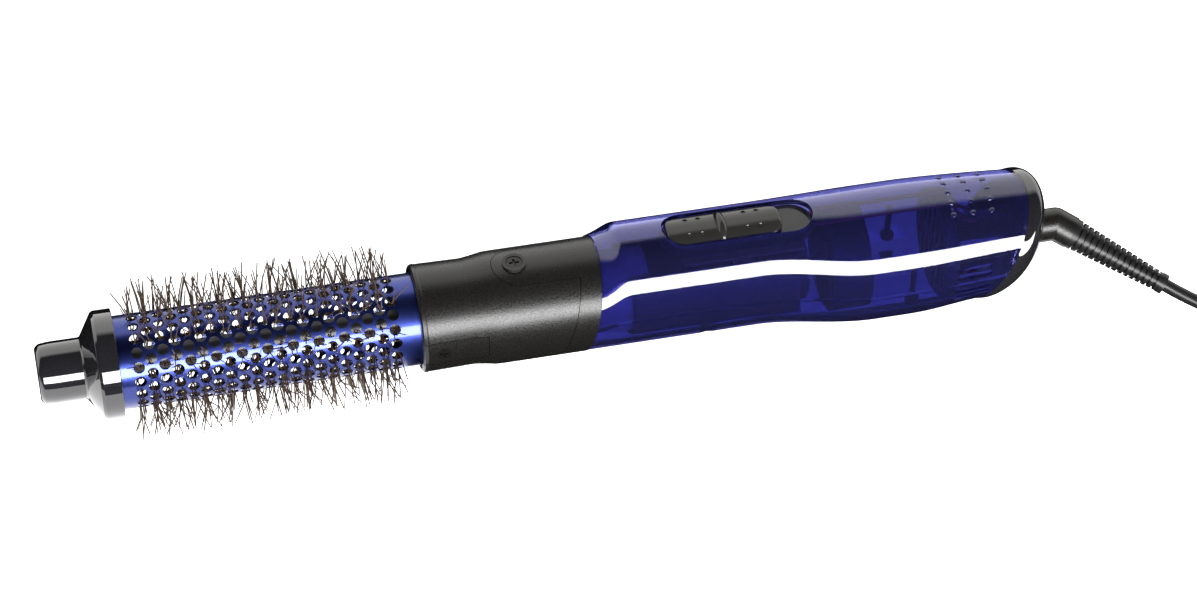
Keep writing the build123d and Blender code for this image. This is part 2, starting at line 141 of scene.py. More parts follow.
def flag(name, outline, clear_sees):
    """A black card on the table that only reflections see, and clear plastic if clear_sees."""
    mesh = bpy.data.meshes.new(name)
    mesh.from_pydata([at(x, y, 0) for x, y in outline], [], [tuple(range(len(outline)))])
    for corner in mesh.vertices:
        corner.co.z = FLAG_LIFT
    card = link(name, mesh)
    velvet, _ = principled(name + "_velvet", Base_Color=(0.004, 0.004, 0.004, 1), Roughness=1.0,
                           Specular_IOR_Level=0.0)
    mesh.materials.append(velvet)
    card.visible_camera = False
    card.visible_diffuse = False
    card.visible_shadow = False
    card.visible_transmission = clear_sees


def make_flags():
    """Dark reflections below the gloss: one card in front of the object and one behind its axis."""
    left, right = FLAG_ENDS_X
    flag("front_flag", [(left, -FLAG_FAR), (right, -FLAG_FAR), (right, -FLAG_HANDLE_GAP),
                        (FLAG_STEP_X, -FLAG_HANDLE_GAP), (FLAG_STEP_X, -FLAG_BRUSH_GAP),
                        (left, -FLAG_BRUSH_GAP)], True)
    flag("back_flag", [(left, 0), (right, 0), (right, FLAG_FAR), (left, FLAG_FAR)], False)


def make_strip():
    """The long soft light in front, whose reflection is the highlight along the handle."""
    data = bpy.data.lights.new("front_strip", "AREA")
    data.shape = "RECTANGLE"
    data.size, data.size_y = STRIP_SIZE
    data.energy = STRIP_WATTS
    light = link("front_strip", data)
    place = at(*STRIP_PLACE)
    light.location = place
    light.rotation_euler = (at(*STRIP_LOOK) - place).to_track_quat("-Z", "Y").to_euler()


def make_world():
    """A dark studio overhead and a pale backdrop behind, by direction round the long axis."""
    world = bpy.data.worlds.new("studio")
    scene.world = world
    world.use_nodes = True
    tree = world.node_tree
    back = tree.nodes["Background"]
    coords = tree.nodes.new("ShaderNodeTexCoord")
    split = tree.nodes.new("ShaderNodeSeparateXYZ")

    def math_node(operation, second=0.0):
        node = tree.nodes.new("ShaderNodeMath")
        node.operation = operation
        node.inputs[1].default_value = second
        return node

    flip = math_node("MULTIPLY", -1)
    angle = math_node("ARCTAN2")
    share = math_node("DIVIDE", math.pi)
    ramp = tree.nodes.new("ShaderNodeValToRGB")
    tree.links.new(coords.outputs["Generated"], split.inputs[0])
    tree.links.new(split.outputs["Y"], flip.inputs[0])
    tree.links.new(split.outputs["Z"], angle.inputs[0])
    tree.links.new(flip.outputs[0], angle.inputs[1])
    tree.links.new(angle.outputs[0], share.inputs[0])
    tree.links.new(share.outputs[0], ramp.inputs[0])
    tree.links.new(ramp.outputs[0], back.inputs["Color"])
    for stop, (position, color) in zip(ramp.color_ramp.elements, WORLD_STOPS):
        stop.position = position
        stop.color = color
    back.inputs["Strength"].default_value = WORLD_STRENGTH


# ------------------------------------------------------------------ materials

def surface(name, color, roughness, metallic=0.0, mottle=(60, 0.15), rough_span=0.05,
            rough_scale=90, bump=None, **sockets):
    """Principled material whose colour and roughness vary over the surface, and may have a bump.
    mottle is (scale, share of the colour it takes away); bump is (scale, height in mm)."""
    made, shader = principled(name, Metallic=metallic, **sockets)
    tree = made.node_tree
    coords = tree.nodes.new("ShaderNodeTexCoord")

    def noise(scale, detail):
        node = tree.nodes.new("ShaderNodeTexNoise")
        node.inputs["Scale"].default_value = scale
        node.inputs["Detail"].default_value = detail
        tree.links.new(coords.outputs["Object"], node.inputs["Vector"])
        return node.outputs["Fac"]

    mix = tree.nodes.new("ShaderNodeMix")
    mix.data_type = "RGBA"
    mix.inputs["A"].default_value = (*color, 1)
    mix.inputs["B"].default_value = (*[c * (1 - mottle[1]) for c in color], 1)
    tree.links.new(noise(mottle[0], 4), mix.inputs["Factor"])
    tree.links.new(mix.outputs["Result"], shader.inputs["Base Color"])

    spread = tree.nodes.new("ShaderNodeMapRange")
    spread.inputs["From Min"].default_value = 0.3
    spread.inputs["From Max"].default_value = 0.7
    spread.inputs["To Min"].default_value = max(roughness - rough_span, 0.01)
    spread.inputs["To Max"].default_value = roughness + rough_span
    tree.links.new(noise(rough_scale, 3), spread.inputs["Value"])
    tree.links.new(spread.outputs["Result"], shader.inputs["Roughness"])
    if bump:
        lift = tree.nodes.new("ShaderNodeBump")
        lift.inputs["Strength"].default_value = 1.0
        lift.inputs["Distance"].default_value = bump[1] * MM
        tree.links.new(noise(bump[0], 2), lift.inputs["Height"])
        tree.links.new(lift.outputs["Normal"], shader.inputs["Normal"])
    return made


def clear_blue(name):
    """Tinted clear plastic that lets lamps through, so that what is inside is lit."""
    made = surface(name, (0.093, 0.095, 0.33), 0.035, mottle=(25, 0.10), rough_span=0.012,
                   rough_scale=400, bump=(55, 0.012), Transmission_Weight=0.975, IOR=1.49)
    tree = made.node_tree
    shader = tree.nodes["Principled BSDF"]
    output = tree.nodes["Material Output"]
    path = tree.nodes.new("ShaderNodeLightPath")
    clear = tree.nodes.new("ShaderNodeBsdfTransparent")
    clear.inputs["Color"].default_value = (0.12, 0.14, 0.55, 1)
    mix = tree.nodes.new("ShaderNodeMixShader")
    tree.links.new(path.outputs["Is Shadow Ray"], mix.inputs[0])
    tree.links.new(shader.outputs[0], mix.inputs[1])
    tree.links.new(clear.outputs[0], mix.inputs[2])
    tree.links.new(mix.outputs[0], output.inputs["Surface"])
    return made


SURFACES = {                # colour, roughness and what else differs from surface()'s own values
    "gloss_black": ((0.006, 0.006, 0.007), 0.055, dict(
        rough_span=0.02, bump=(70, 0.006), Coat_Weight=0.5, Coat_Roughness=0.03)),
    "blue_anodised": ((0.024, 0.036, 0.17), 0.30, dict(
        metallic=1.0, mottle=(130, 0.2), bump=(900, 0.003), Coat_Weight=0.35, Coat_Roughness=0.06)),
    "dark_steel": ((0.05, 0.05, 0.055), 0.35, dict(metallic=0.8, bump=(700, 0.006))),
    "black_nylon": ((0.012, 0.012, 0.014), 0.5, dict(bump=(1300, 0.02))),
    "satin_black": ((0.0045, 0.0042, 0.0038), 0.31, dict(
        mottle=(1500, 0.5), rough_span=0.08, rough_scale=1800, bump=(2000, 0.04),
        Specular_IOR_Level=0.30)),
    "blackened_screw": ((0.03, 0.029, 0.028), 0.3, dict(
        metallic=0.9, mottle=(500, 0.4), bump=(900, 0.01))),
    # Painted shade: the zinc screws are coloured near black, far darker than zinc, because the real
    # screws sit inside the handle's bosses.
    "zinc_screw": ((0.02, 0.02, 0.022), 0.6, dict(metallic=0.5, mottle=(400, 0.3))),
    "mica": ((0.42, 0.37, 0.28), 0.35, dict(mottle=(300, 0.5), bump=(500, 0.02))),
    "heater_wire": ((0.32, 0.29, 0.27), 0.35, dict(metallic=1.0, mottle=(400, 0.4))),
    "steel": ((0.42, 0.42, 0.44), 0.28, dict(
        metallic=1.0, mottle=(250, 0.25), bump=(600, 0.006))),
    "button_grey": ((0.011, 0.0105, 0.010), 0.16, dict(
        mottle=(200, 0.2), rough_span=0.04, bump=(160, 0.01), Specular_IOR_Level=0.3)),
    "board": ((0.26, 0.15, 0.05), 0.55, dict(mottle=(260, 0.4), bump=(900, 0.01))),
    "bronze": ((0.4, 0.24, 0.1), 0.4, dict(metallic=1.0, mottle=(700, 0.4))),
    "copper": ((0.65, 0.3, 0.16), 0.28, dict(metallic=1.0, mottle=(500, 0.3))),
    "wire_sleeve": ((0.35, 0.03, 0.02), 0.4, dict(mottle=(200, 0.3))),
    "filter_mesh": ((0.03, 0.03, 0.035), 0.8, dict(mottle=(1200, 0.6), bump=(2500, 0.1))),
    "bristle": ((0.045, 0.028, 0.017), 0.33, dict(mottle=(420, 0.7), rough_span=0.1)),
    "cord_rubber": ((0.006, 0.006, 0.0065), 0.30, dict(
        mottle=(300, 0.3), bump=(1100, 0.012), Specular_IOR_Level=0.2)),
    "tie": ((0.02, 0.02, 0.022), 0.5, dict(mottle=(400, 0.3), bump=(1500, 0.03))),
    "plug_black": ((0.016, 0.016, 0.017), 0.42, dict(mottle=(600, 0.3), bump=(1500, 0.03))),
    "nickel": ((0.66, 0.64, 0.6), 0.16, dict(metallic=1.0, mottle=(300, 0.2))),
}


def make_materials():
    """Every slot's material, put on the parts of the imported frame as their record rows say."""
    made = {name: surface(name, color, roughness, **more)
            for name, (color, roughness, more) in SURFACES.items()}
    made["translucent_blue"] = clear_blue("translucent_blue")
    for part in frame["record"]["subparts"]:
        node = nodes[part["node"]]
        node.data.materials.clear()
        node.data.materials.append(made[part["material_slot"]])
    return made


# ------------------------------------------------------------------ mesh helpers

WELD = 1e-6                 # metres between points that are one point


def solid(name, verts, faces):
    """A closed mesh from row-frame points, welded and with its faces turned outwards."""
    mesh = bpy.data.meshes.new(name)
    mesh.from_pydata([tuple(v) for v in verts], [], faces)
    built = bmesh.new()
    built.from_mesh(mesh)
    bmesh.ops.remove_doubles(built, verts=built.verts, dist=WELD)
    bmesh.ops.recalc_face_normals(built, faces=built.faces)
    built.to_mesh(mesh)
    built.free()
    return link(name, mesh)


def piece(name, verts, faces, body, slot, replaces, sharp=32):
    dress(solid(name, verts, faces), body, slot, replaces, sharp)


def dress(made, body, slot, replaces, sharp=32):
    """Makes it a visible piece: its material, its edges sharp over so many degrees, its body."""
    mesh = made.data
    mesh.materials.clear()
    mesh.materials.append(MATERIALS[slot])
    if isinstance(mesh, bpy.types.Mesh):
        mesh.shade_smooth()
        mesh.set_sharp_from_angle(angle=math.radians(sharp))
    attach(made, body)
    if replaces:
        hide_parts(*replaces)


def grid_faces(rows, columns, close_rows=False):
    """Quads over a grid of points numbered row by row, each row closed into a ring."""
    faces = []
    for i in range(rows if close_rows else rows - 1):
        for j in range(columns):
            a = i * columns + j
            b = i * columns + (j + 1) % columns
            below = (i + 1) % rows * columns
            faces.append((a, b, below + (j + 1) % columns, below + j))
    return faces


def softened(profile, steps=5):
    """The closed profile of (x, radius, corner radius) with each corner rounded."""
    points = []
    count = len(profile)
    for i, (*spot, size) in enumerate(profile):
        here = Vector(spot)
        back = Vector(profile[i - 1][:2]) - here
        ahead = Vector(profile[(i + 1) % count][:2]) - here
        if size <= 0:
            points.append((*here, 0.0))
            continue
        half = back.angle(ahead) / 2
        reach = min(size / math.tan(half), 0.45 * back.length, 0.45 * ahead.length)
        start = here + back.normalized() * reach
        end = here + ahead.normalized() * reach
        for k in range(steps + 1):
            t = k / steps
            points.append((*(start * (1 - t) ** 2 + here * 2 * t * (1 - t) + end * t ** 2), 0.0))
    return points


def lathe(name, profile, slot, replaces, segments=128):
    """A piece of the handle turned about the long axis from a closed (x, radius, lean) profile."""
    verts = []
    for x, r, lean in profile:
        for k in range(segments):
            a = 2 * math.pi * k / segments
            z = r * math.sin(a)
            verts.append(at(x + lean * z, r * math.cos(a), z))
    faces = grid_faces(len(profile), segments, close_rows=True)
    piece(name, verts, faces, "handle", slot, replaces)


def cut(target, cutter):
    """Takes the cutter's shape out of the target's mesh and deletes the cutter."""
    change = target.modifiers.new("cut", "BOOLEAN")
    change.operation = "DIFFERENCE"
    change.solver = "EXACT"
    change.object = cutter
    bpy.context.view_layer.update()
    depsgraph = bpy.context.evaluated_depsgraph_get()
    result = bpy.data.meshes.new_from_object(target.evaluated_get(depsgraph))
    target.modifiers.clear()
    target.data = result
    bpy.data.objects.remove(cutter)


# ------------------------------------------------------------------ cool tip and bristles

def make_tip():
    """The nose, its cone and the rim that takes the barrel's end."""
    profile = [(0.0, 0.0, 0), (0.0, 9.6, 2.2), (1.6, 10.9, 2.0), (5.0, 11.25, 3),
               (16.2, 11.25, 0.25), (16.9, 12.1, 0.25), (21.3, 19.3, 0.5), (22.4, 19.9, 0.5),
               (28.8, 19.9, 0.45), (28.8, 17.05, 0.1), (24.3, 17.05, 0), (24.3, 0.0, 0)]
    lathe("cool_tip_shell", softened(profile), "gloss_black", ["cool_tip"])


TUFT_OF_LONE_HOLE = 3       # bristles through a hole over its strip
TUFT_OF_PAIRED_HOLE = (2, 3)    # fewest and most through a hole beside its strip
BRISTLE_RADII = (0.24, 0.31)
BRISTLE_TAPER = 0.25        # share of its thickness that a bristle loses by its tip
BRISTLE_ROOT_R = 14.6
BRISTLE_TIP_R = 28.0
BRISTLE_TIP_SPREAD = (-2.0, 1.6)
ROOT_SPREAD = 0.5
LEAN_X = (0.24, 0.55)       # usual and greatest lean, as millimetres sideways for each one out
LEAN_SIDE = (0.20, 0.5)
FLOOR_GAP = 0.5             # a tip that would go lower is bent along the barrel
BEND_SHARE = 0.7
STRIP_COUNT = 10
STRIP_ANGLE = 18            # degrees from the top to the first strip
STRIP_STEP = 36
STRIP_START_X = 29.0
STRIP_LENGTH = 105.0
WIRE_R = 0.42               # of each of a strip's two wires, and of the helix it runs in
WIRE_TURNS = 60
WIRE_POINTS = 8             # in each turn
WIRE_SIDES = 5
SEED = 40
HOLE_R = 2.05
GATE = HOLE_R * 0.62        # how far from its hole's middle a bristle may pass
HOLE_PITCH = 4.6
HOLE_COLUMNS = 21
FIRST_HOLE_X = 35.6
HOLE_STEP = 18.0            # degrees between holes in one column
BARREL_R = 17.0


def around(x, r, degrees, sideways=0.0):
    """Point at a radius and angle about the long axis, moved sideways along the tangent."""
    a = math.radians(degrees)
    return Vector((x, -r * math.sin(a) - sideways * math.cos(a),
                   r * math.cos(a) - sideways * math.sin(a)))


ACROSS_NO_BRISTLE = Vector((1, 0.3, 0.2))   # a direction that no bristle runs in


def bristle_tube(verts, faces, line, radius):
    """A thin four-sided tube along a line of local points, drawn in towards its tip."""
    first = len(verts)
    for i, here in enumerate(line):
        ahead = line[min(i + 1, len(line) - 1)] - line[max(i - 1, 0)]
        side = ahead.cross(ACROSS_NO_BRISTLE).normalized()
        other = ahead.cross(side).normalized()
        size = radius * (1 - BRISTLE_TAPER * i / (len(line) - 1))
        for u, v in ((1, 0), (0, 1), (-1, 0), (0, -1)):
            verts.append(at(*(here + side * u * size + other * v * size)))
    faces += [tuple(first + v for v in f) for f in grid_faces(len(line), 4)]
    last = first + 4 * (len(line) - 1)
    faces.append((last, last + 1, last + 2, last + 3))
    faces.append((first + 3, first + 2, first + 1, first))


def one_bristle(rng, x, strip_angle, hole_angle):
    """From the strip's wire, through a hole, then out at its own lean, kept above the floor."""
    root = around(x + rng.uniform(-ROOT_SPREAD, ROOT_SPREAD), BRISTLE_ROOT_R, strip_angle)
    gate_x = x + rng.uniform(-GATE, GATE)
    gate_side = rng.uniform(-GATE, GATE)
    reach = BRISTLE_TIP_R - BARREL_R + rng.uniform(*BRISTLE_TIP_SPREAD)
    lean_x = max(-LEAN_X[1], min(LEAN_X[1], rng.gauss(0, LEAN_X[0])))
    lean_side = max(-LEAN_SIDE[1], min(LEAN_SIDE[1], rng.gauss(0, LEAN_SIDE[0])))
    line = [root]
    for out, share_x, share_side in ((0, 0, 0), (0.5, 0.42, 0.40), (1, 1, 1)):
        line.append(around(gate_x + reach * lean_x * share_x, BARREL_R + reach * out, hole_angle,
                           gate_side + reach * lean_side * share_side))
    lowest = FLOOR_GAP - AXIS_HEIGHT
    for point in line[2:]:
        if point.z < lowest:
            point.x += (lowest - point.z) * (BEND_SHARE if lean_x > 0 else -BEND_SHARE)
            point.z = lowest
    return line


def make_bristles():
    """Ten strips: tufts through the holes over and beside each, on two wires twisted together.
    Every other column of holes has one hole over a strip, and those between have one each side."""
    for i in range(STRIP_COUNT):
        rng = random.Random(SEED + i)
        strip_angle = STRIP_ANGLE + STRIP_STEP * i
        verts, faces = [], []
        for column in range(HOLE_COLUMNS):
            x = FIRST_HOLE_X + HOLE_PITCH * column
            paired = column % 2
            beside = HOLE_STEP / 2 if paired else 0
            for hole_angle in (strip_angle - beside, strip_angle + beside)[:1 + paired]:
                tuft = rng.randint(*TUFT_OF_PAIRED_HOLE) if paired else TUFT_OF_LONE_HOLE
                for _ in range(tuft):
                    line = one_bristle(rng, x, strip_angle, hole_angle)
                    bristle_tube(verts, faces, line, rng.uniform(*BRISTLE_RADII))
        points = WIRE_TURNS * WIRE_POINTS
        for phase in (0, math.pi):
            line = []
            for k in range(points + 1):
                a = phase + 2 * math.pi * k / WIRE_POINTS
                line.append(around(STRIP_START_X + STRIP_LENGTH * k / points,
                                   BRISTLE_ROOT_R + WIRE_R * math.cos(a), strip_angle,
                                   WIRE_R * math.sin(a)))
            twisted_wire(verts, faces, line)
        name = f"bristle_strip_{i + 1:02d}"
        piece(name + "_brush", verts, faces, "handle", "bristle", [name], sharp=60)


def twisted_wire(verts, faces, line):
    """A wire of even thickness along the line, its sections square to the long axis."""
    first = len(verts)
    for here in line:
        for j in range(WIRE_SIDES):
            a = 2 * math.pi * j / WIRE_SIDES
            verts.append(at(here.x, here.y + WIRE_R * math.cos(a), here.z + WIRE_R * math.sin(a)))
    faces += [tuple(first + v for v in f) for f in grid_faces(len(line), WIRE_SIDES)]
    last = first + WIRE_SIDES * (len(line) - 1)
    faces.append(tuple(first + j for j in reversed(range(WIRE_SIDES))))
    faces.append(tuple(last + j for j in range(WIRE_SIDES)))


# ------------------------------------------------------------------ handle

WALL = 2.2
NECK_END_X = 200.3          # where the collar ends and the clear shells start
NECK_END_SLOPE = 0.20       # millimetres that the end leans for each one up
NECK_R = 20.7
RISE = (NECK_END_X - 4, 16)     # start and length of the change from neck to grip
GRIP = (21.0, 27.1, 21.5)   # half width, top and bottom of the grip
SWELL = (262, 44)           # of the change from grip to round rear
REAR_R = 25.2
TAPER = (318, 56)           # of the narrowing towards the cap
TAPER_DEPTH = 3.0
CAP_X = 354.0
CAP_SLOPE = 0.51
CAP_LEAN_LENGTH = 36
PARTING_GAP = 0.25          # degrees from the parting plane to each half


def ease(t):
    """Smooth step from 0 to 1."""
    t = min(max(t, 0.0), 1.0)
    return t * t * (3 - 2 * t)


def handle_section(x):
    """Half width, top, bottom and lean of the handle's outside at x."""
    rise, swell, taper = (ease((x - start) / length) for start, length in (RISE, SWELL, TAPER))
    sizes = []
    for grip in GRIP:
        size = NECK_R + (grip - NECK_R) * rise
        size += (REAR_R - size) * swell
        sizes.append(size - TAPER_DEPTH * taper)
    lean = (NECK_END_SLOPE * (1 - ease((x - NECK_END_X) / RISE[1]))
            + CAP_SLOPE * ease((x - TAPER[0]) / CAP_LEAN_LENGTH))
    return (*sizes, lean)


def on_handle(x, degrees, inset=0.0):
    """Point of the handle's surface; degrees run from the +Y side over the top."""
    half, top, bottom, lean = handle_section(x)
    a = math.radians(degrees)
    height = (top - bottom) / 2 + ((top + bottom) / 2 - inset) * math.sin(a)
    return x + lean * height, (half - inset) * math.cos(a), height


def half_shell(name, start, stations=150, steps=72):
    """One half of the handle's wall, from start degrees through a half turn, as a closed mesh."""
    span = 180 - 2 * PARTING_GAP
    angles = [start + PARTING_GAP + span * j / steps for j in range(steps + 1)]
    verts = []
    for i in range(stations + 1):
        x = NECK_END_X + (CAP_X - NECK_END_X) * i / stations
        ring = [at(*on_handle(x, a)) for a in angles]
        ring += [at(*on_handle(x, a, WALL)) for a in reversed(angles)]
        verts += ring
    loop = 2 * (steps + 1)
    faces = grid_faces(stations + 1, loop) + end_faces(0, steps) + end_faces(stations * loop, steps)
    return solid(name, verts, faces)


def end_faces(first, steps):
    """Quads that close the end of a wall whose outline goes out along one side and back along
    the other, from the point numbered first."""
    last = first + 2 * steps + 1
    return [(first + j, first + j + 1, last - 1 - j, last - j) for j in range(steps)]


def prism(outline, low, high):
    """Upright cutter from a closed (x, y) outline."""
    count = len(outline)
    verts = [at(x, y, low) for x, y in outline] + [at(x, y, high) for x, y in outline]
    faces = [(j, (j + 1) % count, count + (j + 1) % count, count + j) for j in range(count)]
    faces += [tuple(reversed(range(count))), tuple(range(count, 2 * count))]
    return solid("cutter", verts, faces)


def stadium_outline(x0, x1, half, steps=20):
    """Closed (x, y) outline with round ends."""
    outline = []
    for centre, start in ((x1 - half, -90), (x0 + half, 90)):
        for k in range(steps + 1):
            a = math.radians(start + 180 * k / steps)
            outline.append((centre + half * math.cos(a), half * math.sin(a)))
    return outline


RECESS_X = (228.3, 284.7)
RECESS_HALF = 8.3
RECESS_CUT = (15, 40)       # bottom and top of what is cut out, above the long axis
SCREW_WELLS = (             # middle of each well along and across, and its top
    (243.0, 14.0, -9.0), (243.0, -14.0, -9.0), (320.0, 17.0, -18.6), (320.0, -17.0, -18.6))
SCREW_WELL_R = 2.9
BELOW_HANDLE = -30
LOUVRE_X = (335.0, 348.0)
LOUVRE_R = (16, 32)         # from inside the wall to outside it
LOUVRE_HALF = 0.7
UPPER_LOUVRES = (8, 15)     # degrees above the parting plane
LOWER_LOUVRES = (-8, -15, -22)
SHELL_SHARP = 40


def louvre(degrees, side):
    """Cutter for one inlet slot through the wall, at so many degrees above the parting plane."""
    lift = math.radians(degrees)
    verts = []
    for r in LOUVRE_R:
        for x in LOUVRE_X:
            for h in (-LOUVRE_HALF, LOUVRE_HALF):
                y = side * (r * math.cos(lift) - h * math.sin(lift))
                verts.append(at(x, y, r * math.sin(lift) + h * math.cos(lift)))
    faces = [(0, 1, 3, 2), (4, 6, 7, 5), (0, 2, 6, 4), (1, 5, 7, 3), (0, 4, 5, 1), (2, 3, 7, 6)]
    return solid("cutter", verts, faces)


def circle_outline(x, y, r, steps=32):
    return [(x + r * math.cos(2 * math.pi * k / steps), y + r * math.sin(2 * math.pi * k / steps))
            for k in range(steps)]


def make_shells():
    """The clear blue halves of the handle, with the switch's recess, louvres, wells and bumps."""
    upper = half_shell("handle_upper_half", 0)
    cut(upper, prism(stadium_outline(*RECESS_X, RECESS_HALF), *RECESS_CUT))
    lower = half_shell("handle_lower_half", 180)
    for side in (-1, 1):
        for degrees in UPPER_LOUVRES:
            cut(upper, louvre(degrees, side))
        for degrees in LOWER_LOUVRES:
            cut(lower, louvre(degrees, side))
    for x, y, top in SCREW_WELLS:
        cut(lower, prism(circle_outline(x, y, SCREW_WELL_R), BELOW_HANDLE, top))
    join(upper, [grip_bumps()])
    dress(upper, "handle", "translucent_blue", ["handle_upper_shell"], SHELL_SHARP)
    dress(lower, "handle", "translucent_blue", ["handle_lower_shell"], SHELL_SHARP)


def join(target, others):
    """Adds the other meshes to the target's and deletes them."""
    built = bmesh.new()
    built.from_mesh(target.data)
    for other in others:
        built.from_mesh(other.data)
        bpy.data.objects.remove(other)
    built.to_mesh(target.data)
    built.free()


BUMP_R = 1.15
BUMP_RISE = 0.62
BUMP_SINK = 0.04            # into the wall
BUMP_ANGLES = (114, 102, 90, 78, 66)
BUMP_X = [331.9528 + 5.1 * column for column in range(3)]    # before the handle's lean
BUMP_PROBE = 0.5            # millimetres either way, to find how the wall runs


def wall_point(x, degrees):
    return Vector(on_handle(x, degrees))


def grip_bumps():
    """Small domes behind the top of the handle, five round by three along."""
    verts, faces = [], []
    rings, steps = 5, 20
    for angle in BUMP_ANGLES:
        for x in BUMP_X:
            foot = wall_point(x, angle)
            ahead = (wall_point(x + BUMP_PROBE, angle)
                     - wall_point(x - BUMP_PROBE, angle)).normalized()
            across = (wall_point(x, angle + 1) - wall_point(x, angle - 1)).normalized()
            out = across.cross(ahead).normalized()
            if out.z < 0:
                out.negate()
            first = len(verts)
            for i in range(rings + 1):
                rise = math.radians(90 * i / rings)
                for k in range(steps):
                    a = 2 * math.pi * k / steps
                    around_foot = ahead * math.cos(a) + across * math.sin(a)
                    spot = foot + around_foot * BUMP_R * math.cos(rise)
                    verts.append(at(*(spot + out * (BUMP_RISE * math.sin(rise) - BUMP_SINK))))
            faces += [tuple(first + v for v in f) for f in grid_faces(rings + 1, steps)]
            faces.append(tuple(first + k for k in reversed(range(steps))))
    return solid("grip_bumps", verts, faces)


# ------------------------------------------------------------------ rear cap

CAP_STATIONS = (            # x, radius and lean, behind the seam with the shells
    (357.5, 23.4, 0.50), (361.0, 21.9, 0.47), (364.0, 19.2, 0.43), (366.2, 15.0, 0.38))
CAP_HOLE_R = 9.5            # for the swivel boss
CAP_SEAM = 0.12             # between the cap and the shells
CAP_THICKNESS = 1.8
CAP_LIP = 4                 # how far the wall goes in behind the seam


def between(stations, t):
    """Smooth value between stations at t from 0 to 1, on a Catmull-Rom line."""
    span = t * (len(stations) - 1)
    i = min(int(span), len(stations) - 2)
    u = span - i
    p = [stations[max(0, min(len(stations) - 1, i + k))] for k in (-1, 0, 1, 2)]
    return [0.5 * (2 * b + (c - a) * u + (2 * a - 5 * b + 4 * c - d) * u ** 2
                   + (3 * b - a - 3 * c + d) * u ** 3) for a, b, c, d in zip(*p)]


def make_cap():
    """The leaning gloss cap: its outside from the seam to the hole, then its inside back again."""
    steps = 40
    half, _, _, lean = handle_section(CAP_X)
    stations = [(CAP_X, half, lean), *CAP_STATIONS]
    rows = [between(stations, i / steps) for i in range(steps + 1)]
    x, r, lean = rows[-1]
    rows += [(x + 0.35, r - 0.9, lean), (x + 0.45, CAP_HOLE_R, lean * 0.9),
             (x - CAP_THICKNESS, CAP_HOLE_R, lean), (x - CAP_THICKNESS, r - WALL, lean),
             (CAP_X + CAP_LIP, half - WALL, 0.5), (CAP_X, half - WALL, CAP_SLOPE)]
    lathe("rear_cap_shell", [(x + CAP_SEAM, r, lean) for x, r, lean in rows], "gloss_black",
          ["rear_cap"], segments=144)


# ------------------------------------------------------------------ swivel boss

def make_boss():
    profile = [(340.0, 9.4, 0.3), (371.5, 9.4, 1.7), (371.5, 5.55, 0.2), (356.0, 5.55, 0),
               (356.0, 7.9, 0), (341.5, 7.9, 0), (341.5, 0.0, 0), (340.0, 0.0, 0)]
    lathe("swivel_boss", softened(profile), "gloss_black", ["swivel_socket"])


# ------------------------------------------------------------------ switch button

BED_TOP = 22.6
BUTTON_X = (229.7, 272.7)
BUTTON_HALF = 7.7
BUTTON_CORNER = 5.0
BUTTON_EDGE = 1.3
EDGE_STEPS = 6
BUTTON_FOOT = BED_TOP + 0.35
BUTTON_FLAT = 0.5           # half width of the strip that closes the crown
CROWN_STEPS = 8
CROWN_R = 14.0
CROWN_Z = 12.6
DIMPLE_X = (237.9, 242.7, 259.7, 264.5)
DIMPLE_Y = (-4.0, 4.0)
DIMPLE_R = 1.1
DIMPLE_RAISED = 0.45        # middle of the ball that cuts a dimple, above the crown
FIN = (250.3, 21.0)         # middle of the fin, along and above the axis
FIN_SIZE = (3.0, 8.2, 7.6)
STEM_X = (244.9, 249.7)     # what reaches down to the switch
STEM_HALF = 1.5
STEM_FOOT = 17.6
BUTTON_SHARP = 40
POINTS_ALONG = {0: 24, 90: 4, 180: 24, 270: 4}      # on the side that follows each corner
WAY_ALONG = {0: (-1, 0), 90: (0, -1), 180: (1, 0), 270: (0, 1)}


def crown(y):
    """Height of the button's rounded top."""
    return CROWN_Z + math.sqrt(CROWN_R ** 2 - y * y)


def rounded_loop(inset, per_corner=14):
    """Outline of the button drawn in by inset, with the same number of points each time."""
    x0, x1 = BUTTON_X
    half_x, half_y = (x1 - x0) / 2 - inset, BUTTON_HALF - inset
    corner = min(max(BUTTON_CORNER - inset, 0.4), half_y * 0.98)
    loop = []
    for cx, cy, start in ((1, 1, 0), (-1, 1, 90), (-1, -1, 180), (1, -1, 270)):
        for k in range(per_corner + 1):
            a = math.radians(start + 90 * k / per_corner)
            loop.append(((x0 + x1) / 2 + cx * (half_x - corner) + corner * math.cos(a),
                         cy * (half_y - corner) + corner * math.sin(a)))
        along = (half_x - corner) * 2 if start in (0, 180) else (half_y - corner) * 2
        count = POINTS_ALONG[start]
        x, y = loop[-1]
        way_x, way_y = WAY_ALONG[start]
        for k in range(1, count):
            loop.append((x + way_x * along * k / count, y + way_y * along * k / count))
    return loop


